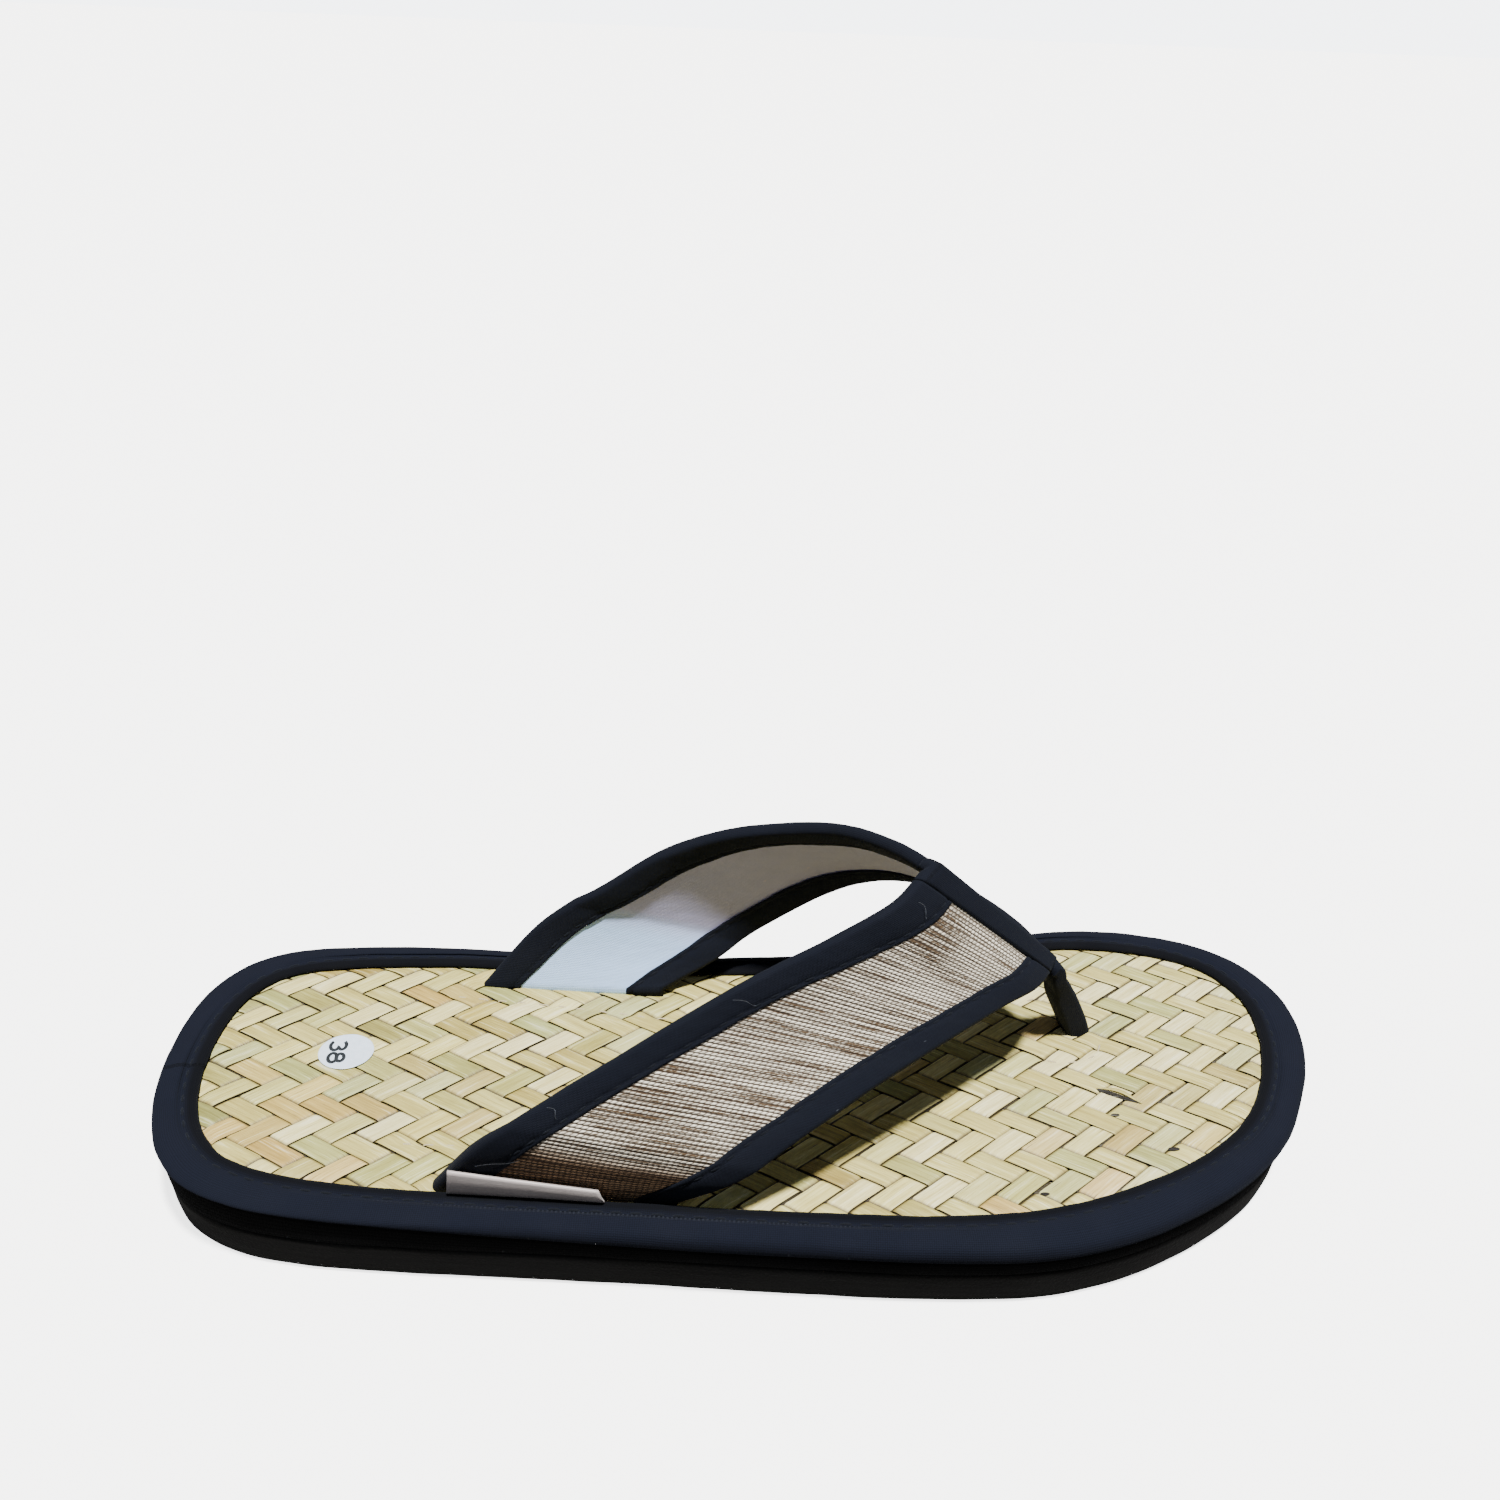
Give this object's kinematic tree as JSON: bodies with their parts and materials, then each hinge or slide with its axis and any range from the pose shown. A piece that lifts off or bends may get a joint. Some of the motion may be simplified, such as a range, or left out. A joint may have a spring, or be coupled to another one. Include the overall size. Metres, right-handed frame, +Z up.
{
  "type": "woven mat slipper",
  "caption": "Right-foot thong mat slipper: woven straw footbed with a dark cloth rim on a flat foam sole, and a tweed strap with bound edges, a ridge and a toe post.",
  "frame": {"origin": "centre of the overall box on the floor under the sole", "axes": "+X runs from heel to toe, +Y to the inner side of a right foot, +Z up from the floor"},
  "size_m": [0.2616, 0.1086, 0.0702],
  "materials": {
    "foam": "matt closed-cell foam",
    "navy_cloth": "plain woven cloth",
    "straw": "split straw strips in a twill weave",
    "tweed": "coarse two-tone woven cloth",
    "satin": "plain satin ribbon",
    "paper": "semi-gloss label paper"
  },
  "bodies": {
    "root": {"outsole": "foam", "covered_board": "navy_cloth", "rim_binding": "navy_cloth", "woven_footbed": "straw", "strap_upper": "tweed", "binding_outer_rear": "navy_cloth", "binding_outer_front": "navy_cloth", "binding_inner_rear": "navy_cloth", "binding_inner_front": "navy_cloth", "ridge_binding": "navy_cloth", "toe_post": "navy_cloth", "side_label": "satin", "size_sticker": "paper"}
  },
  "joints": []
}
